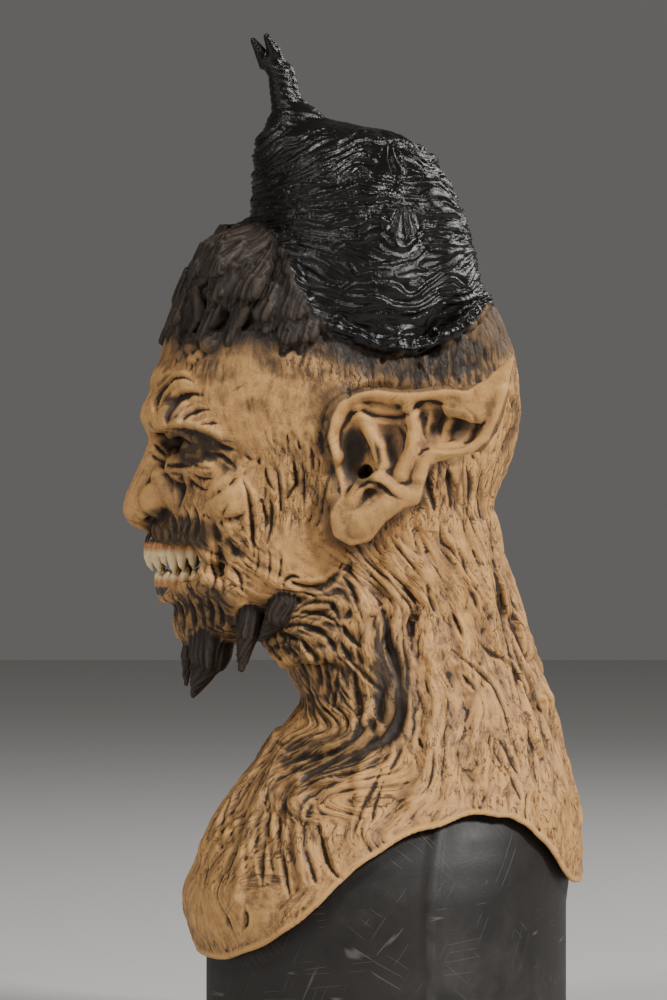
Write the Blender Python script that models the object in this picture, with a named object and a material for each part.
"""Horned demon mask of cast silicone, standing on its dark display form.

The mask is modelled as a sculptor builds it: lumps of clay are added and cut
in a block of clay, which holds the distance to the surface at each point of a
grid. The block is then skinned with a mesh, hollowed to the wall of the
casting, and seated on the display form and around the two rows of teeth.

The free form is drawn in millimetres at one size (z = 0 at the foot of the
form, the face towards -Y, the mask's left side towards +X) and is scaled to
MASK_HEIGHT. Walls, bores and fits are real sizes and keep their own values.
"""
import math

import bmesh
import bpy
import numpy as np

# Driving sizes, metres
MASK_HEIGHT = 0.604
SKIN_WALL = 0.0065
BUN_WALL = 0.0095
FORM_WALL = 0.005
FIT_GAP = 0.0003
GLUE_BED = 0.0009
BIB_CLEARANCE = 0.072
COLLAR_HEIGHT = 0.235
COLLAR_LEDGE = 0.003
SEAM_WIDTH = 0.0045
SEAM_PROUD = 0.0009
EYE_SLIT_LENGTH = 0.027
EYE_SLIT_HEIGHT = 0.008
NOSTRIL_BORE = 0.0075
EAR_BORE = 0.010
THROAT_BORE = 0.030
TOOTH_WIDTH = 0.0074
GUM_BAR = 0.0072

# The drawing: its own height and block, how square its level sections are in plan
# (2 is an ellipse), its grid cells and its triangle budgets
DRAWN_HEIGHT = 604.0
DRAWN_BIB_LOW = 72.0
BLOCK_LOW = (0, -160, 60)
BLOCK_HIGH = (158, 160, 684)
TORSO_POWER = 2.3
FACE_POWER = 2.1
BUN_POWER = 2.15
SKIN_CELL = 3.0
TOOTH_CELL = 1.3
SKIN_TRIANGLES = 5000
TOOTH_TRIANGLES = 460
FORM_SIDES = 24

# Finishes
SKIN_COLOUR = (0.42, 0.25, 0.12)
SKIN_ROUGHNESS = 0.55
TOOTH_COLOUR = (0.72, 0.62, 0.42)
TOOTH_ROUGHNESS = 0.25
TOOTH_COAT = 0.6
FORM_COLOUR = (0.035, 0.032, 0.03)
FORM_ROUGHNESS = 0.5

UNIT = MASK_HEIGHT / DRAWN_HEIGHT
LIFT = BIB_CLEARANCE - DRAWN_BIB_LOW * UNIT


def drawn(size):
    """A real size in metres as a length in the drawing."""
    return size / UNIT


# Neck and bib: height, front, back, half width
TORSO = (
    (72, -101, 141, 149),
    (88, -107, 146, 151),
    (105, -111, 147, 151),
    (132, -104, 150, 147),
    (150, -98, 150, 141),
    (168, -87, 148, 132),
    (181, -77, 145, 123),
    (198, -63, 140, 110),
    (214, -52, 135, 98),
    (229, -39, 131, 88),
    (238, -34, 128, 84),
    (248, -38, 125, 80),
    (266, -46, 119, 74),
    (284, -44, 113, 69),
    (300, -36, 107, 67),
    (317, -28, 102, 66),
    (332, -22, 97, 65),
    (350, -20, 94, 64),
    (370, -20, 92, 62),
    (392, -15, 95, 58),
)

# Face, from the jaw to the forehead: height, front, back, half width
FACE = (
    (276, -109, -66, 27),
    (284, -111, -56, 36),
    (291, -112, -44, 46),
    (299, -114, -28, 55),
    (306, -120, -12, 61),
    (313, -125, 4, 65),
    (322, -127, 16, 67),
    (335, -129, 26, 69),
    (346, -131, 34, 71),
    (357, -126, 40, 73),
    (371, -122, 48, 76),
    (386, -121, 54, 78),
    (399, -123, 58, 78),
    (411, -128, 60, 79),
    (423, -133, 60, 80),
    (436, -132, 60, 81),
    (449, -129, 58, 81),
    (463, -126, 54, 79),
    (476, -122, 50, 76),
)
FACE_WIDEST = -18.0

# Bun of hair: height, front, back, half width
BUN = (
    (458, -46, 70, 70),
    (468, -56, 77, 79),
    (480, -62, 82, 84),
    (495, -65, 86, 87),
    (510, -67, 85, 87),
    (524, -67, 82, 85),
    (545, -68, 77, 79),
    (560, -68, 72, 73),
    (575, -67, 65, 65),
    (588, -66, 58, 56),
    (600, -64, 48, 45),
    (609, -61, 32, 33),
    (616, -54, 8, 20),
    (620, -48, -12, 10),
)

# Lower edge of the bun, where it lies on the scalp: half width, depth, height
BUN_RIM = (
    (0, -68, 546),
    (28, -63, 544),
    (52, -49, 538),
    (68, -41, 527),
    (75, -37, 512),
    (79, -33, 499),
    (82, -18, 483),
    (83, 6, 472),
    (82, 32, 468),
    (74, 62, 476),
    (48, 80, 492),
    (0, 87, 502),
)

# Where the form is plainer than the mask: straight throat, flat chest below
THROAT_LEVEL = 224.0
THROAT_FRONT = -36.0
CHEST_FRONT = -103.5

# Lower edge of the bib: depth and height, the same across the width
HEM = (
    (-112, 76),
    (-94, 75),
    (-69, 83),
    (-44, 98),
    (-24, 114),
    (-9, 129),
    (16, 148),
    (54, 164),
    (91, 169),
    (105, 165),
    (117, 155),
    (128, 142),
    (136, 129),
    (146, 121),
    (156, 118),
)

# Outline of the ear in side view: depth and height
EAR_OUTLINE = (
    (-12, 398), (-15, 409), (-13, 420), (-8, 430), (2, 436), (14, 438), (27, 436),
    (40, 436), (57, 438), (72, 437), (82, 443), (91, 451), (100, 459), (97, 444),
    (91, 426), (84, 409), (74, 400), (60, 397), (47, 393), (43, 381), (40, 368),
    (31, 366), (20, 357), (10, 344), (-2, 341), (-12, 347), (-13, 361), (-6, 372),
)


# Where the ear grows out of the head: depth and height
EAR_ROOT = (
    (-8, 396), (-9, 412), (-2, 427), (14, 431), (34, 429), (43, 414), (42, 396),
    (34, 378), (24, 362), (8, 352), (-4, 352), (-9, 372),
)


def follow(keys, place, column=1):
    """Read a smooth curve through (place, value, ...) keys, level past its ends."""
    at = np.array([key[0] for key in keys], dtype=float)
    value = np.array([key[column] for key in keys], dtype=float)
    slope = np.gradient(value, at)
    place = np.clip(place, at[0], at[-1])
    step = np.clip(np.searchsorted(at, place) - 1, 0, len(at) - 2)
    span = at[step + 1] - at[step]
    t = (place - at[step]) / span
    start = value[step] + t * span * slope[step]
    end = value[step + 1] - (1 - t) * span * slope[step + 1]
    ease = t * t * (3 - 2 * t)
    return start * (1 - ease) + end * ease


def join_smooth(one, other, blend):
    """Distance to two lumps pressed together, with a fillet of size blend."""
    mix = np.clip(0.5 + 0.5 * (other - one) / blend, 0, 1)
    return other * (1 - mix) + one * mix - blend * mix * (1 - mix)


class Lump:
    """A simple solid: the box that it reaches and its distance function."""

    def __init__(self, low, high, distance):
        self.low = np.array(low, dtype=float)
        self.high = np.array(high, dtype=float)
        self.distance = distance


def egg(centre, radii, top=None):
    """An ellipsoid; top is its radius upwards where that differs."""
    cx, cy, cz = centre
    rx, ry, rz = radii
    rise = rz if top is None else top

    def distance(x, y, z):
        up = np.where(z > cz, rise, rz)
        ax, ay, az = (x - cx) / rx, (y - cy) / ry, (z - cz) / up
        near = np.sqrt(ax * ax + ay * ay + az * az)
        steep = np.sqrt((ax / rx) ** 2 + (ay / ry) ** 2 + (az / up) ** 2)
        return near * (near - 1) / np.maximum(steep, 1e-6)

    low = (cx - rx, cy - ry, cz - rz)
    high = (cx + rx, cy + ry, cz + rise)
    return Lump(low, high, distance)


def tube(points, radii):
    """A round bar through the points, each with its own radius."""
    points = [np.array(point, dtype=float) for point in points]

    def distance(x, y, z):
        best = None
        for k in range(len(points) - 1):
            start, run = points[k], points[k + 1] - points[k]
            px, py, pz = x - start[0], y - start[1], z - start[2]
            along = (px * run[0] + py * run[1] + pz * run[2]) / max(run @ run, 1e-9)
            along = np.clip(along, 0, 1)
            px, py, pz = px - along * run[0], py - along * run[1], pz - along * run[2]
            radius = radii[k] + along * (radii[k + 1] - radii[k])
            far = np.sqrt(px * px + py * py + pz * pz) - radius
            best = far if best is None else np.minimum(best, far)
        return best

    spread = max(radii)
    low = np.min(points, axis=0) - spread
    high = np.max(points, axis=0) + spread
    return Lump(low, high, distance)


def stack(keys, widest, power):
    """A body stacked from level sections, egg-shaped in plan, widest at one depth."""

    def distance(x, y, z):
        front, back, half = (follow(keys, z, column) for column in (1, 2, 3))
        middle = (front + back) / 2
        if widest is not None:
            middle = np.minimum(widest, 0.4 * front + 0.6 * back)
        reach = np.where(y < middle, middle - front, back - middle)
        ax, ay = np.abs(x) / half, np.abs(y - middle) / reach
        near = np.maximum((ax ** power + ay ** power) ** (1 / power), 1e-4)
        pull = near ** (1 - power)
        steep = np.hypot(pull * ax ** (power - 1) / half, pull * ay ** (power - 1) / reach)
        side = (near - 1) / np.maximum(steep, 1e-4)
        return np.maximum(side, np.maximum(z - keys[-1][0], keys[0][0] - z))

    wide = max(key[3] for key in keys)
    low = (-wide, min(key[1] for key in keys), keys[0][0])
    high = (wide, max(key[2] for key in keys), keys[-1][0])
    return Lump(low, high, distance)


def plate(outline, lean, thick, low_x, high_x):
    """A leaning sheet with the given (y, z) outline; lean gives x from y and z."""
    ring = [np.array(point, dtype=float) for point in outline]

    def distance(x, y, z):
        best = None
        inside = np.zeros(np.broadcast(y, z).shape, dtype=bool)
        for k in range(len(ring)):
            start, end = ring[k], ring[(k + 1) % len(ring)]
            run = end - start
            py, pz = y - start[0], z - start[1]
            along = np.clip((py * run[0] + pz * run[1]) / (run @ run), 0, 1)
            far = np.hypot(py - along * run[0], pz - along * run[1])
            best = far if best is None else np.minimum(best, far)
            if run[1] != 0:
                spans = (start[1] > z) != (end[1] > z)
                inside ^= spans & (y < start[0] + run[0] * (z - start[1]) / run[1])
        rim = np.where(inside, -best, best)
        face = np.abs(x - lean(y, z)) - thick / 2
        return np.maximum(face, rim)

    low = (low_x, min(p[0] for p in ring), min(p[1] for p in ring))
    high = (high_x, max(p[0] for p in ring), max(p[1] for p in ring))
    return Lump(low, high, distance)


def blade(points, widths, thicks, outward):
    """A flat bar through the points, thin along the outward direction."""
    points = [np.array(point, dtype=float) for point in points]
    outward = np.array(outward, dtype=float) / np.linalg.norm(outward)

    def distance(x, y, z):
        best = None
        for k in range(len(points) - 1):
            start, run = points[k], points[k + 1] - points[k]
            px, py, pz = x - start[0], y - start[1], z - start[2]
            along = (px * run[0] + py * run[1] + pz * run[2]) / max(run @ run, 1e-9)
            along = np.clip(along, 0, 1)
            px, py, pz = px - along * run[0], py - along * run[1], pz - along * run[2]
            depth = px * outward[0] + py * outward[1] + pz * outward[2]
            side = np.maximum(px * px + py * py + pz * pz - depth * depth, 0)
            width = widths[k] + along * (widths[k + 1] - widths[k])
            thick = thicks[k] + along * (thicks[k + 1] - thicks[k])
            far = (np.sqrt(side / width ** 2 + (depth / thick) ** 2) - 1) * thick
            best = far if best is None else np.minimum(best, far)
        return best

    spread = max(max(widths), max(thicks))
    return Lump(np.min(points, axis=0) - spread, np.max(points, axis=0) + spread, distance)


def meet(one, other):
    """The part of one lump that lies inside another's distance function."""
    return Lump(one.low, one.high,
                lambda x, y, z: np.maximum(one.distance(x, y, z), other.distance(x, y, z)))


class Clay:
    """A block of clay: signed distance on a grid, from the middle plane to +X."""

    REACH = 13.0

    def __init__(self, low, high, cell):
        self.cell = cell
        self.axes = []
        for axis in range(3):
            start = 0.0 if axis == 0 else low[axis]
            count = int(math.ceil((high[axis] - start) / cell)) + 1
            self.axes.append((start + cell * np.arange(count)).astype(np.float32))
        self.value = np.full([len(axis) for axis in self.axes], 60.0, dtype=np.float32)

    def window(self, lump, spare):
        """Slices and coordinates of the part of the block that a lump can change."""
        slices = []
        for axis in range(3):
            line = self.axes[axis]
            first = int(np.searchsorted(line, lump.low[axis] - spare))
            last = int(np.searchsorted(line, lump.high[axis] + spare))
            slices.append(slice(first, last))
        x = self.axes[0][slices[0]][:, None, None]
        y = self.axes[1][slices[1]][None, :, None]
        z = self.axes[2][slices[2]][None, None, :]
        return tuple(slices), (x, y, z)

    def add(self, lump, blend=3.0):
        """Press a lump on."""
        where, place = self.window(lump, self.REACH + blend)
        if self.value[where].size:
            self.value[where] = join_smooth(self.value[where], lump.distance(*place), blend)

    def cut(self, lump, blend=1.0):
        """Carve a lump out."""
        where, place = self.window(lump, self.REACH + blend)
        if self.value[where].size:
            self.value[where] = -join_smooth(-self.value[where], lump.distance(*place), blend)

    def surface(self, turn, height, middle=-8.0, proud=0.0):
        """The point of the skin at a turn from the face (degrees) and a height."""
        turn = math.radians(turn)
        way = np.arange(0.0, 190.0, 0.5)
        x = np.sin(turn) * way
        y = middle - np.cos(turn) * way
        spots = []
        for line, place in zip(self.axes, (x, y, np.full_like(way, height))):
            spots.append(np.clip(((place - line[0]) / self.cell).round().astype(int), 0, len(line) - 1))
        solid = np.nonzero(self.value[tuple(spots)] < 0)[0]
        far = way[solid[-1]] + proud if len(solid) else 0.0
        return (math.sin(turn) * far, middle - math.cos(turn) * far, height)


def settle(value):
    """Fill the few corners of the grid where a mesh would touch itself."""
    pairs = [((0, 0, 0), (1, 1, 1)), ((1, 0, 0), (0, 1, 1)),
             ((0, 1, 0), (1, 0, 1)), ((0, 0, 1), (1, 1, 0))]
    for _ in range(30):
        inside = value < 0
        spots = set()
        for one, two in ((0, 1), (1, 2), (0, 2)):
            kind = []
            for a, b in ((0, 0), (1, 0), (1, 1), (0, 1)):
                pick = [slice(None)] * 3
                pick[one] = slice(a, value.shape[one] - 1 + a)
                pick[two] = slice(b, value.shape[two] - 1 + b)
                kind.append(inside[tuple(pick)])
            crossed = (kind[0] == kind[2]) & (kind[1] == kind[3]) & (kind[0] != kind[1])
            for base in np.argwhere(crossed):
                ring = []
                for a, b in ((0, 0), (1, 0), (1, 1), (0, 1)):
                    spot = base.copy()
                    spot[one] += a
                    spot[two] += b
                    ring.append(tuple(spot))
                spots.add(min((spot for spot in ring if not inside[spot]), key=lambda s: value[s]))
        corner = {}
        count = np.zeros([side - 1 for side in value.shape], dtype=np.int8)
        for i in (0, 1):
            for j in (0, 1):
                for k in (0, 1):
                    corner[i, j, k] = inside[i:value.shape[0] - 1 + i, j:value.shape[1] - 1 + j,
                                             k:value.shape[2] - 1 + k]
                    count += corner[i, j, k]
        for near, far in pairs:
            same = corner[near] == corner[far]
            lone = same & (((count == 2) & corner[near]) | ((count == 6) & ~corner[near]))
            for base in np.argwhere(lone):
                ring = [tuple(base + (i, j, k)) for i in (0, 1) for j in (0, 1) for k in (0, 1)]
                spots.add(min((spot for spot in ring if not inside[spot]), key=lambda s: value[s]))
        for spot in spots:
            value[spot] = -0.02
        if not spots:
            break
    return value


def skin(value, axes, cell):
    """Skin a block with four-sided faces, one point in each cell that it crosses."""
    inside = value < 0
    total = np.zeros([side - 1 for side in value.shape], dtype=np.int8)
    for i in (0, 1):
        for j in (0, 1):
            for k in (0, 1):
                total += inside[i:value.shape[0] - 1 + i, j:value.shape[1] - 1 + j,
                                k:value.shape[2] - 1 + k]
    spot = np.argwhere((total > 0) & (total < 8))
    number = np.full(total.shape, -1, dtype=np.int32)
    number[tuple(spot.T)] = np.arange(len(spot))
    corner = {}
    for i in (0, 1):
        for j in (0, 1):
            for k in (0, 1):
                corner[i, j, k] = value[spot[:, 0] + i, spot[:, 1] + j, spot[:, 2] + k]
    place = np.zeros((len(spot), 3))
    hits = np.zeros(len(spot))
    for start in corner:
        for axis in range(3):
            if start[axis]:
                continue
            end = tuple(1 if axis == other else start[other] for other in range(3))
            a, b = corner[start], corner[end]
            crossed = (a < 0) != (b < 0)
            share = np.where(crossed, a / np.where(crossed, a - b, 1), 0)
            point = np.array(start, dtype=float) * crossed[:, None]
            point[:, axis] += share
            place += point
            hits += crossed
    place = (spot + place / hits[:, None]) * cell + [axis[0] for axis in axes]
    faces = []
    for axis in range(3):
        others = [other for other in range(3) if other != axis]
        low = [slice(None)] * 3
        high = [slice(None)] * 3
        low[axis] = slice(0, value.shape[axis] - 1)
        high[axis] = slice(1, value.shape[axis])
        for other in others:
            low[other] = slice(1, value.shape[other] - 1)
            high[other] = slice(1, value.shape[other] - 1)
        leaving = inside[tuple(low)] & ~inside[tuple(high)]
        entering = ~inside[tuple(low)] & inside[tuple(high)]
        for hit, outward in ((leaving, True), (entering, False)):
            base = np.argwhere(hit)
            ring = []
            for a, b in ((0, 0), (1, 0), (1, 1), (0, 1)):
                shifted = base.copy()
                shifted[:, others[0]] += a
                shifted[:, others[1]] += b
                ring.append(number[tuple(shifted.T)])
            face = np.stack(ring, axis=1)
            if outward == (axis == 1):
                face = face[:, ::-1]
            faces.append(face)
    return place, np.concatenate(faces)


def mesh_object(name, points, faces):
    """A mesh object from points in the drawing."""
    mesh = bpy.data.meshes.new(name)
    mesh.vertices.add(len(points))
    world = np.array(points) * UNIT + (0, 0, LIFT)
    mesh.vertices.foreach_set("co", world.astype(np.float32).ravel())
    mesh.loops.add(faces.size)
    mesh.loops.foreach_set("vertex_index", faces.astype(np.int32).ravel())
    mesh.polygons.add(len(faces))
    sides = faces.shape[1]
    mesh.polygons.foreach_set("loop_start", np.arange(0, faces.size, sides, dtype=np.int32))
    mesh.update(calc_edges=True)
    mesh.validate()
    piece = bpy.data.objects.new(name, mesh)
    bpy.context.scene.collection.objects.link(piece)
    return piece


def cast(name, clay, triangles):
    """Skin both halves of a block and thin the mesh to a number of triangles."""
    value = np.concatenate((clay.value[:0:-1], clay.value))
    axes = [np.concatenate((-clay.axes[0][:0:-1], clay.axes[0])), clay.axes[1], clay.axes[2]]
    points, faces = skin(settle(value), axes, clay.cell)
    piece = mesh_object(name, points, faces)
    thin = piece.modifiers.new("thin", "DECIMATE")
    thin.ratio = min(1.0, triangles / (2 * len(faces)))
    return piece


def add_cranium(clay):
    """Skull, neck and face as plain bodies."""
    clay.add(egg((0, -8, 432), (84, 118, 104), top=124), 8)
    clay.add(stack(TORSO, None, TORSO_POWER), 14)
    clay.add(stack(FACE, FACE_WIDEST, FACE_POWER), 12)


def hollow_lumps():
    """The bodies that the cavity follows, and how far inside each it keeps."""
    wall = drawn(SKIN_WALL)
    return (
        (egg((0, -8, 432), (84, 118, 104), top=124), wall),
        (stack(TORSO[12:], None, TORSO_POWER), wall + drawn(COLLAR_LEDGE)),
        (stack(FACE, FACE_WIDEST, FACE_POWER), wall),
        (stack(BUN, None, BUN_POWER), drawn(BUN_WALL)),
    )


def shrunk(lump, inset):
    """A lump with its whole surface moved inwards."""
    return Lump(lump.low, lump.high, lambda x, y, z: lump.distance(x, y, z) + inset)


def add_brow(clay):
    """Heavy brow with its folds, hollow eyes under it and their lids."""
    clay.add(tube([(4, -129, 426), (24, -128, 425), (44, -114, 421), (64, -90, 412)],
                  (10, 11, 11, 6)), 8)
    clay.add(tube([(0, -124, 447), (24, -122, 448), (46, -106, 445)], (9, 9, 6)), 8)
    clay.add(tube([(10, -129, 440), (14, -133, 430), (12, -131, 418)], (4, 5, 4)), 4)
    clay.cut(egg((35, -119, 407), (20, 17, 11)), 5)
    clay.cut(egg((14, -128, 411), (8, 8, 9)), 5)
    clay.add(egg((34, -104, 406), (18, 9, 9)), 3)
    clay.add(tube([(19, -116, 400), (34, -114, 396), (54, -100, 399)], (3.6, 4.4, 4)), 4)
    clay.add(tube([(22, -119, 391), (40, -112, 386), (58, -94, 391)], (4, 4.5, 4)), 6)


def add_nose(clay):
    """Long hooked nose with wide wings."""
    clay.add(tube([(0, -124, 414), (0, -126, 402), (0, -130, 388), (0, -137, 370)],
                  (9, 10.5, 12.5, 13)), 7)
    clay.add(egg((0, -138, 363), (14, 13.5, 12)), 4)
    clay.add(egg((15, -127, 370), (10, 13, 12)), 4)
    clay.add(tube([(16, -128, 386), (25, -118, 372), (29, -111, 354)], (4, 4.5, 4)), 6)


def add_cheeks(clay):
    """Cheekbone, pouch, jaw muscle and the folds round the mouth."""
    clay.add(egg((58, -76, 371), (17, 18, 20)), 9)
    clay.add(egg((53, -80, 349), (12, 9, 14)), 6)
    clay.add(egg((60, -36, 332), (14, 30, 27)), 9)
    clay.cut(tube([(66, -90, 352), (64, -88, 338), (54, -88, 322)], (4, 5, 4)), 5)
    clay.cut(tube([(80, -62, 388), (81, -58, 368), (78, -60, 348)], (4, 5, 4)), 6)
    clay.add(egg((0, -112, 349), (36, 23, 9)), 7)
    clay.add(tube([(33, -113, 351), (42, -99, 342), (45, -92, 328), (40, -94, 314)],
                  (5, 5, 5, 4)), 6)
    clay.add(tube([(0, -124, 307), (18, -119, 306), (34, -103, 309)], (5, 5, 5)), 5)
    clay.add(egg((0, -103, 291), (27, 16, 17)), 8)


def add_jowls(clay):
    """Loose folds that sweep from the jaw round on to the neck, and the neck's own."""
    for fold in range(4):
        clay.add(tube([(46 - 2 * fold, -60 + 5 * fold, 284 - 6.5 * fold),
                       (60, -38 + 2 * fold, 298 - 9.5 * fold),
                       (67, -14 + fold, 305 - 11.5 * fold),
                       (70, 8 + 2 * fold, 298 - 15 * fold)], (4, 5, 5, 3)), 7)
    folds = (
        (((60, 330), (66, 296), (72, 262), (72, 232), (58, 206)), 4.5),
        (((78, 330), (84, 292), (86, 256), (80, 222), (62, 190)), 5.5),
        (((98, 322), (100, 284), (102, 246), (98, 208), (90, 176)), 6.0),
        (((116, 340), (118, 300), (120, 260), (118, 222), (112, 186)), 5.0),
        (((138, 352), (136, 312), (138, 270), (136, 228), (130, 184)), 5.0),
        (((158, 356), (156, 318), (158, 276), (156, 232), (150, 180)), 5.0),
        (((176, 330), (176, 290), (174, 250), (172, 208), (168, 160)), 5.0),
        (((16, 214), (20, 190), (24, 160), (26, 128)), 5.0),
        (((36, 206), (40, 180), (44, 150), (46, 118)), 5.0),
        (((52, 190), (58, 172), (62, 150), (64, 130)), 5.0),
        (((74, 208), (74, 190), (76, 172), (78, 156)), 5.0),
    )
    for path, thick in folds:
        points = [clay.surface(turn, height, 36.0, -2.2) for turn, height in path]
        clay.add(tube(points, [thick] * len(points)), 7)


def add_ear(clay):
    """Long pointed ear: a thin hollowed leaf with a rolled rim, ridges and a lobe."""

    def lean(y, z):
        return 87 + 0.30 * (y + 14) + 0.03 * (z - 400)

    def leaf(y, z):
        hollow = 0
        for (place_y, place_z), (wide, high), deep in bowls:
            hollow = hollow + deep * np.exp(-((y - place_y) / wide) ** 2 - ((z - place_z) / high) ** 2)
        return lean(y, z) - 1.5 - hollow

    def on_leaf(path, proud=1.5):
        return [(lean(y, z) + proud, y, z) for y, z in path]

    bowls = (((3, 398), (11, 18), 11), ((25, 408), (8, 16), 7), ((56, 419), (20, 11), 7))
    clay.add(plate(EAR_ROOT, lambda y, z: 73.0, 20, 63, 83), 8)
    clay.add(plate(EAR_OUTLINE, leaf, 4.8, 64, 126), 3)
    rim = EAR_OUTLINE[:17]
    clay.add(tube(on_leaf(rim), [5.2] * 9 + [4.6, 4.2, 3.4, 2.2, 3.4, 4.2, 4.4, 4.2]), 2)
    clay.add(tube(on_leaf(((74, 401), (60, 399), (48, 395), (42, 384))), (4.2, 4.0, 3.8, 3.2)), 2)
    clay.add(tube(on_leaf(((3, 426), (9, 416), (15, 404), (18, 392)), -1.0), (3, 4, 4.4, 3.6)), 3)
    clay.add(tube(on_leaf(((34, 426), (38, 412), (36, 400), (31, 388)), -0.5), (4, 4.6, 4.4, 4)), 3)
    for y in (47, 60):
        clay.add(tube(on_leaf(((y, 430), (y + 1, 420), (y - 3, 410)), -3.0), (2.2, 2.6, 2.4)), 3)
    clay.add(egg((89, 2, 358), (9, 15.5, 16.5)), 4)
    clay.add(tube(on_leaf(((1, 373), (6, 380), (17, 384), (29, 374))), (3.6, 4, 4, 3.2)), 3)
    clay.add(egg((85, -9, 384), (7, 7, 9)), 4)
    clay.add(tube([(81, -19, 418), (84, -12, 433), (82, 6, 445), (76, 22, 448)],
                  (3, 4, 4, 3)), 5)


def bun_region():
    """The side-view area above the rim of the bun, as a lump without sides."""
    reach = DRAWN_HEIGHT + 60
    edge = [(-90, reach), (-90, BUN_RIM[0][2])] + [point[1:] for point in BUN_RIM]
    return plate(edge + [(100, BUN_RIM[-1][2] + 6), (100, reach)],
                 lambda y, z: 0.0, 400, 0, 100)


def add_bun(clay):
    """The bun of hair with its lumpy rim and bound ponytail."""
    clay.add(meet(stack(BUN, None, BUN_POWER), bun_region()), 6)
    clay.add(tube([(0, -38, 602), (0, -38, 613), (0, -40, 621), (0, -43, 629),
                   (0, -45, 638), (0, -47, 650), (0, -53, 659)],
                  (25, 20, 14.5, 11, 9.8, 9, 6.5)), 8)
    clay.add(tube([(1, -50, 657), (4, -52, 665), (5, -57, 675)], (5, 4.6, 2.2)), 2)
    clay.add(tube([(-1, -58, 657), (0, -61, 665), (0, -66, 673)], (4.4, 4, 2)), 2)
    count = len(BUN_RIM)
    for number, lump in enumerate(np.linspace(0, count - 1, 3 * count)):
        x, y, z = (float(follow([(k, point[axis]) for k, point in enumerate(BUN_RIM)], lump))
                   for axis in range(3))
        size = 5.0 + 0.9 * math.sin(2.3 * number)
        clay.add(egg((x - 3, y, z + 1), (size + 1, size + 1.5, size + 1)), 6)


def add_forelocks(clay):
    """Jagged slabs of horny hair that run from the bun down on to the forehead."""
    clay.add(egg((0, -51, 502), (68, 56, 49)), 8)
    locks = (
        (((0, 560), (0, 540), (0, 512), (0, 474)), (10, 12, 11, 3), 7.0),
        (((14, 556), (13, 532), (11, 508), (10, 488)), (8, 9, 8, 3), 7.0),
        (((62, 550), (48, 542), (38, 524), (32, 502)), (8, 11, 10, 3), 8.0),
        (((34, 548), (29, 530), (24, 508), (20, 480)), (8, 11, 13, 4), 9.0),
        (((36, 516), (34, 500), (29, 478)), (6, 8, 4), 6.0),
        (((47, 522), (44, 500), (41, 466)), (6, 8, 3), 5.0),
        (((66, 540), (62, 516), (57, 478)), (8, 9, 4), 5.5),
        (((78, 508), (74, 490), (71, 460)), (7, 9, 5), 5.0),
        (((90, 492), (88, 474), (86, 452)), (7, 8, 4), 4.0),
    )
    for path, widths, thick in locks:
        points = [clay.surface(turn, height, -8.0, 0.2) for turn, height in path]
        turn = math.radians(path[1][0])
        thicks = [0.7 * thick] + [thick] * (len(path) - 2) + [0.6 * thick]
        clay.add(blade(points, widths, thicks, (math.sin(turn), -math.cos(turn), 0.35)), 1.5)
    for turn, height in ((27, 472), (32, 468), (23, 466)):
        clay.add(egg(clay.surface(turn, height, -8.0, -1.0), (5, 5, 5)), 2)


def add_horns(clay):
    """Spikes of horn under the chin and along the jaw, with small warts."""
    clay.add(tube([(0, -106, 284), (0, -109, 266), (0, -110, 248)], (6, 4.8, 1.8)), 2)
    clay.add(tube([(16, -92, 287), (16, -94, 269), (15, -105, 241)], (14.5, 13.5, 2)), 2)
    clay.add(egg((46, -62, 307), (8, 7.5, 9)), 3)
    clay.add(tube([(48, -66, 300), (47, -69, 283), (45, -73, 260)], (8.5, 7.5, 2)), 2)
    clay.add(tube([(60, -44, 305), (58, -49, 295), (52, -60, 279)], (8.5, 8, 2)), 2)
    for x, y, z in ((43, -82, 307), (38, -87, 296), (40, -82, 289), (43, -77, 292)):
        clay.add(egg((x, y, z), (4.5, 4, 4)), 2)


def carve_mouth(clay):
    """The open mouth between the lips."""
    clay.cut(egg((0, -104, 327), (43, 44, 15)), 2)


def open_ways(clay):
    """Ways through the wall: eye slits, nostrils, ear bores and the throat."""
    eye = drawn(EYE_SLIT_LENGTH) / 2
    clay.cut(egg((34, -104, 408), (eye, 34, drawn(EYE_SLIT_HEIGHT) / 2)), 1.5)
    nostril = drawn(NOSTRIL_BORE) / 2
    clay.cut(tube([(8.5, -138, 350), (9, -131, 361), (10, -112, 372), (10, -96, 376)],
                  [nostril] * 4), 1.5)
    bore = drawn(EAR_BORE) / 2
    clay.cut(tube([(96, 6, 388), (78, 7, 388), (54, 7, 390)], [bore] * 3), 1.5)
    throat = drawn(THROAT_BORE) / 2
    clay.cut(tube([(0, -96, 327), (0, -40, 330)], [throat, throat]), 2)


def cut_hem(clay):
    """Trim the bib along its lower edge."""
    spread = 3.0

    def distance(x, y, z):
        edge = follow(HEM, y)
        slope = (follow(HEM, y + spread) - follow(HEM, y - spread)) / (2 * spread)
        return (z - edge) / np.sqrt(1 + slope * slope)

    clay.cut(Lump((0, -170, 40), (170, 170, 175), distance), 1.5)


def sculpt_mask(cell):
    """The whole mask in clay, hollow above the collar of the form."""
    clay = Clay(BLOCK_LOW, BLOCK_HIGH, cell)
    add_cranium(clay)
    add_brow(clay)
    add_nose(clay)
    add_cheeks(clay)
    add_jowls(clay)
    add_ear(clay)
    add_forelocks(clay)
    add_horns(clay)
    carve_mouth(clay)
    add_bun(clay)

    cavity = Clay(BLOCK_LOW, BLOCK_HIGH, cell)
    for lump, inset in hollow_lumps():
        cavity.add(shrunk(lump, inset), 12)
    room = np.maximum(cavity.value, clay.value + 0.8 * drawn(SKIN_WALL))
    clay.value = np.maximum(clay.value, -room)
    open_ways(clay)
    cut_hem(clay)
    return clay


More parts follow.
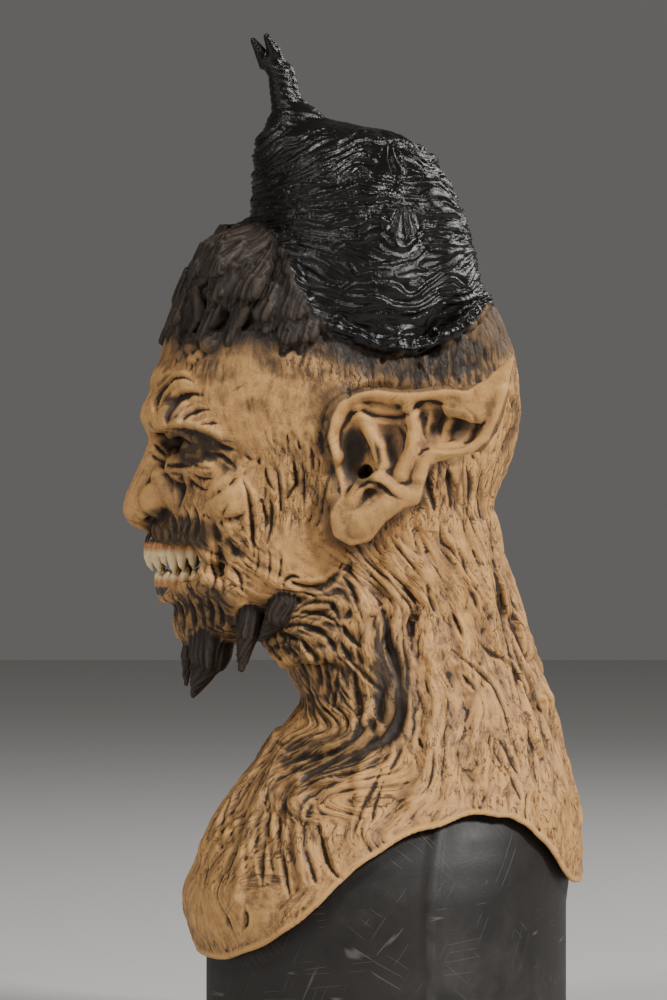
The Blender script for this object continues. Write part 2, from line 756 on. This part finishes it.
def tooth_rows():
    """Both rows: name, arch, gum height, bar height and the lengths of the teeth."""
    return (
        ("upper_teeth", (33.5, 43.0, -91.0), 341.0, 344.5, -1,
         (16, 17.5, 18, 14, 19, 16.5, 15.5, 12)),
        ("lower_teeth", (28.0, 32.0, -95.0), 313.0, 309.5, 1,
         (10, 12.5, 13, 10, 12, 11, 9)),
    )


def arch_places(arch, pitch, count):
    """Evenly spaced turns along the elliptic arch, from the middle to one end."""
    wide, deep, _ = arch
    turns = np.linspace(0, math.pi / 2, 400)
    steps = np.hypot(wide * np.cos(turns), deep * np.sin(turns)) * (turns[1] - turns[0])
    length = np.concatenate(([0], np.cumsum(steps[:-1])))
    return np.interp([(k + 0.5) * pitch for k in range(count)], length, turns)


def arch_point(arch, turn, inset, z):
    """A point on the arch, moved inwards by inset."""
    wide, deep, back = arch
    return ((wide - inset) * math.sin(turn), back - (deep - inset) * math.cos(turn), z)


def tooth_clay(arch, gum, bar, way, lengths):
    """One row of fangs in clay, fused to its gum bar."""
    wide, deep, back = arch
    low = (0, back - deep - 12, min(gum, bar) - 26)
    high = (wide + 12, back + 16, max(gum, bar) + 26)
    clay = Clay(low, high, TOOTH_CELL)
    thick = drawn(GUM_BAR) / 2
    ridge = [arch_point(arch, turn, 2.0, bar) for turn in np.linspace(0, math.pi / 2, 12)]
    clay.add(tube(ridge, [thick] * len(ridge)), 1.5)
    width = drawn(TOOTH_WIDTH)
    for turn, length in zip(arch_places(arch, width * 0.96, len(lengths)), lengths):
        root = arch_point(arch, turn, 0.8, bar)
        neck = arch_point(arch, turn, -0.6, gum + way * 0.45 * length)
        tip = arch_point(arch, turn, 1.6, gum + way * length)
        clay.add(tube([root, neck, tip], (0.5 * width, 0.42 * width, 0.14 * width)), 0.7)
    return clay


def make_teeth(name, *row):
    """One row of fangs and the larger copy of it that cuts its bed in the mask."""
    teeth = cast(name, tooth_clay(*row), TOOTH_TRIANGLES)
    room = tooth_clay(*row)
    room.value -= drawn(GLUE_BED)
    return teeth, cast(name + "_bed", room, 2 * TOOTH_TRIANGLES)


def form_section(z):
    """Front, back and half width of the mask's own torso; straight below the bib."""
    level = max(z, 112.0)
    front, back, half = (float(follow(TORSO, level, column)) for column in (1, 2, 3))
    if z > THROAT_LEVEL:
        front = THROAT_FRONT
    return max(front, CHEST_FRONT), back, half


def form_ring(z, inset, proud):
    """One ring of the form, with the mould seam standing proud on both sides."""
    front, back, half = form_section(z)
    middle, reach = (front + back) / 2, (back - front) / 2
    seam = drawn(SEAM_WIDTH) / 2
    turns = []
    for side in range(FORM_SIDES):
        turn = 2 * math.pi * side / FORM_SIDES
        if abs(math.sin(turn)) > 1e-6:
            turns.append((turn, 0.0))
    half_seam = seam / reach
    for centre in (0.0, math.pi):
        for offset, height in ((-1.6, 0.0), (-1.0, proud), (1.0, proud), (1.6, 0.0)):
            turns.append(((centre + offset * half_seam) % (2 * math.pi), height))
    ring = []
    power = 2 / TORSO_POWER
    for turn, height in sorted(turns):
        c, s = math.cos(turn), math.sin(turn)
        x = math.copysign(abs(c) ** power, c) * (half - inset + height)
        y = middle + math.copysign(abs(s) ** power, s) * (reach - inset)
        ring.append((x, y, z))
    return ring


def form_levels():
    """Heights of the form's rings, from its foot to the top of its collar."""
    foot = -LIFT / UNIT
    collar = DRAWN_BIB_LOW + drawn(COLLAR_HEIGHT)
    shoulders = [138.0, 162.0, 182.0, 202.0, 222.0, 244.0, 272.0]
    return [foot, 112.0] + [z for z in shoulders if z < collar - 8] + [collar]


def skin_inset(level):
    """How far the form lies inside the mask's surface, measured level."""
    lean = (follow(TORSO, level + 6, 3) - follow(TORSO, level - 6, 3)) / 12
    return (drawn(SKIN_WALL) + drawn(FIT_GAP)) * math.sqrt(1 + float(lean) ** 2)


def make_form():
    """The hollow display form, open at its foot and at its neck."""
    proud = drawn(SEAM_PROUD)
    wall = drawn(FORM_WALL)
    outer, inner = [], []
    for level in form_levels():
        inset = skin_inset(max(level, 112.0))
        lean = inset / (drawn(SKIN_WALL) + drawn(FIT_GAP))
        outer.append(form_ring(level, inset, proud))
        inner.append(form_ring(level, inset + wall * lean, 0.0))
    count = len(outer[0])
    rings = outer + inner[::-1]
    points = [point for ring in rings for point in ring]
    faces = []
    for level in range(len(rings)):
        above = (level + 1) % len(rings)
        for side in range(count):
            after = (side + 1) % count
            faces.append((level * count + side, level * count + after,
                          above * count + after, above * count + side))
    return mesh_object("display_form", points, np.array(faces))


def make_plug(form):
    """The form's outside, larger by the fit gap and closed, to seat the mask on it."""
    count = len(form_ring(112.0, 10.0, 1.0))
    levels = len(form_levels())
    shape = form.data
    place = np.zeros(len(shape.vertices) * 3)
    shape.vertices.foreach_get("co", place)
    lean = np.zeros(len(shape.vertices) * 3)
    shape.vertices.foreach_get("normal", lean)
    outside = count * levels
    place = place.reshape(-1, 3)[:outside]
    lean = lean.reshape(-1, 3)[:outside]
    lean[:count, 2] = 0
    lean[-count:, 2] = 0
    lean /= np.linalg.norm(lean, axis=1)[:, None]
    place = place + 1.15 * FIT_GAP * lean
    place[:count, 2] = -0.02
    place[-count:, 2] += FIT_GAP
    points = (place - (0, 0, LIFT)) / UNIT
    faces = []
    for level in range(levels - 1):
        for side in range(count):
            after = (side + 1) % count
            faces.append((level * count + side, level * count + after,
                          (level + 1) * count + after, (level + 1) * count + side))
    plug = mesh_object("plug", points, np.array(faces))
    close_ends(plug, count, levels)
    return plug


def close_ends(piece, count, levels):
    """Cap the first and the last ring of a stack with a centre point each."""
    shape = bmesh.new()
    shape.from_mesh(piece.data)
    shape.verts.ensure_lookup_table()
    shape.faces.new([shape.verts[k] for k in range(count)][::-1])
    top = count * (levels - 1)
    shape.faces.new([shape.verts[top + k] for k in range(count)])
    shape.to_mesh(piece.data)
    shape.free()


def seat(mask, cutter):
    """Cut a seat into the mask and put the cutter out of sight."""
    cutter.hide_render = True
    cutter.display_type = "WIRE"
    cut = mask.modifiers.new("seat " + cutter.name, "BOOLEAN")
    cut.operation = "DIFFERENCE"
    cut.solver = "EXACT"
    cut.object = cutter


def finish(piece, name, colour, roughness, coat=0.0):
    """Give a piece its own plain material."""
    material = bpy.data.materials.new(name)
    material.use_nodes = True
    shader = material.node_tree.nodes["Principled BSDF"]
    shader.inputs["Base Color"].default_value = (*colour, 1.0)
    shader.inputs["Roughness"].default_value = roughness
    shader.inputs["Metallic"].default_value = 0.0
    shader.inputs["Coat Weight"].default_value = coat
    piece.data.materials.clear()
    piece.data.materials.append(material)


def main():
    """Build the mask, its teeth and its form."""
    for old in list(bpy.data.objects):
        bpy.data.objects.remove(old, do_unlink=True)
    form = make_form()
    rows = [make_teeth(*row) for row in tooth_rows()]
    mask = cast("mask_skin", sculpt_mask(SKIN_CELL), SKIN_TRIANGLES)
    seat(mask, make_plug(form))
    for _, bed in rows:
        seat(mask, bed)
    finish(mask, "painted_silicone", SKIN_COLOUR, SKIN_ROUGHNESS)
    for teeth, _ in rows:
        finish(teeth, teeth.name + "_resin", TOOTH_COLOUR, TOOTH_ROUGHNESS, TOOTH_COAT)
    finish(form, "dark_moulded_plastic", FORM_COLOUR, FORM_ROUGHNESS)


main()
